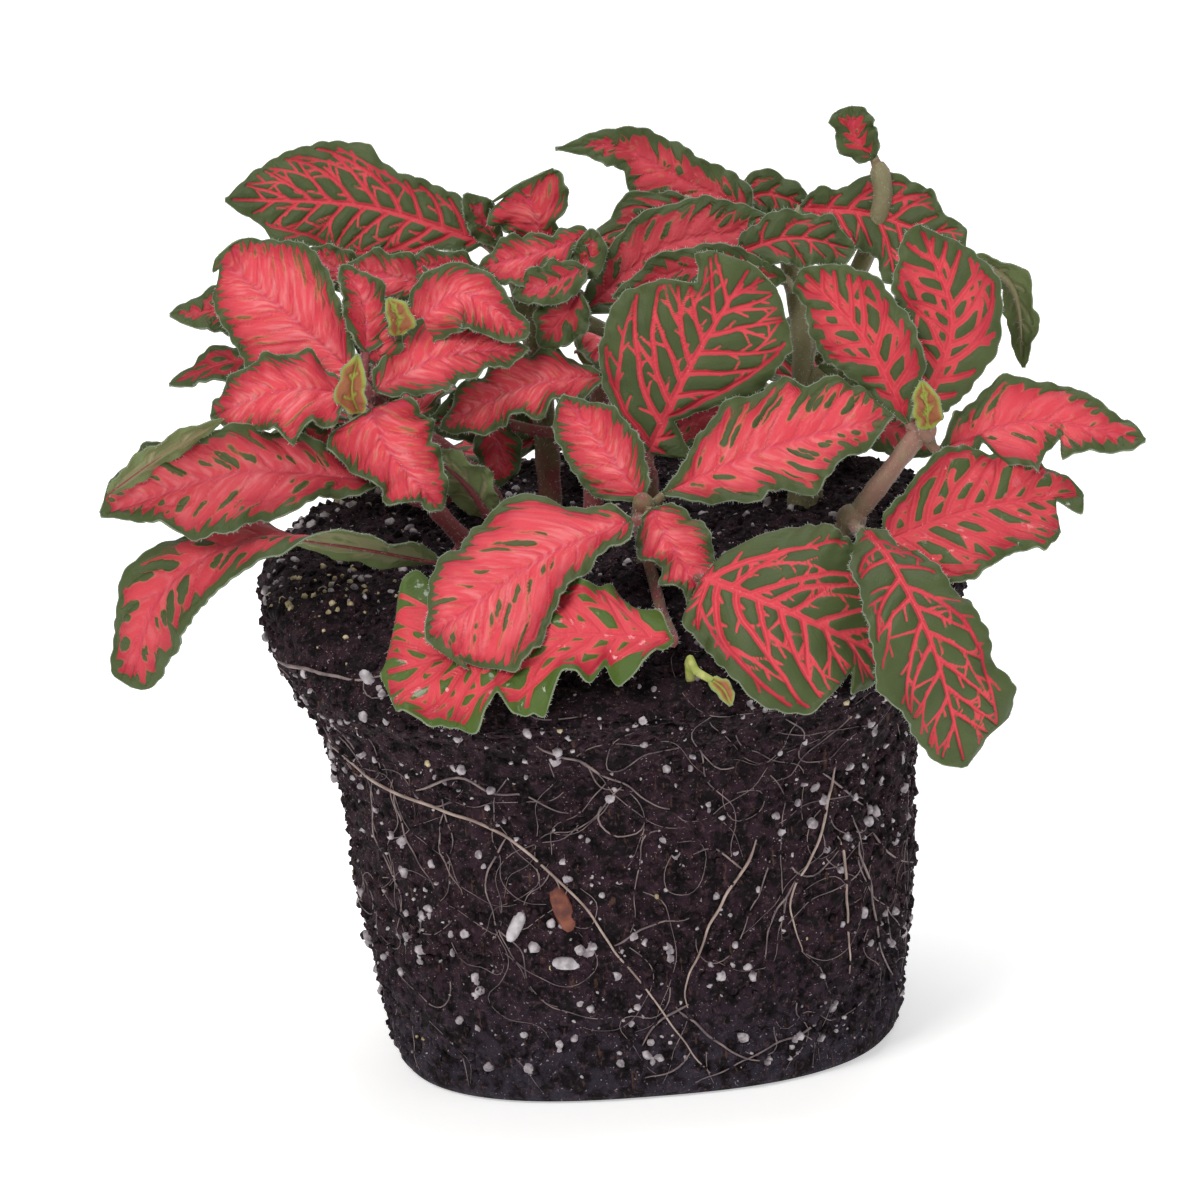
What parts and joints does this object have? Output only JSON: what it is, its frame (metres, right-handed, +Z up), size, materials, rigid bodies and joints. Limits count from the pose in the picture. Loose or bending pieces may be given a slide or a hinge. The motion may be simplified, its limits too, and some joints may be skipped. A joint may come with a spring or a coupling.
{
  "type": "nerve plant with its root ball",
  "caption": "Fittonia nerve plant standing on its bare root ball, with pink-veined leaves, leafy stems and surface roots.",
  "frame": {"origin": "centre of the root ball's flat base", "axes": "+Z up, -Y towards the front, +X to the right seen from the front"},
  "size_m": [0.1468, 0.1182, 0.1268],
  "materials": {
    "peat": "matt, crumbly dark peat",
    "root": "pale fine roots",
    "pink_leaf": "coral-pink leaves with green margins, satin",
    "green_leaf": "green leaves with a pink net of veins, satin",
    "sprout": "fresh pale green"
  },
  "bodies": {
    "root": {"root_ball": "peat", "surface_root_1": "root", "surface_root_2": "root", "surface_root_3": "root", "surface_root_4": "root", "seedling": "sprout", "shoot_left_front": "pink_leaf", "shoot_back_left": "pink_leaf", "shoot_middle": "pink_leaf", "shoot_front": "green_leaf", "shoot_right": "pink_leaf", "shoot_back_right": "green_leaf", "shoot_rear_left": "pink_leaf", "shoot_rear_right": "green_leaf", "shoot_rear_middle": "pink_leaf"}
  },
  "joints": []
}
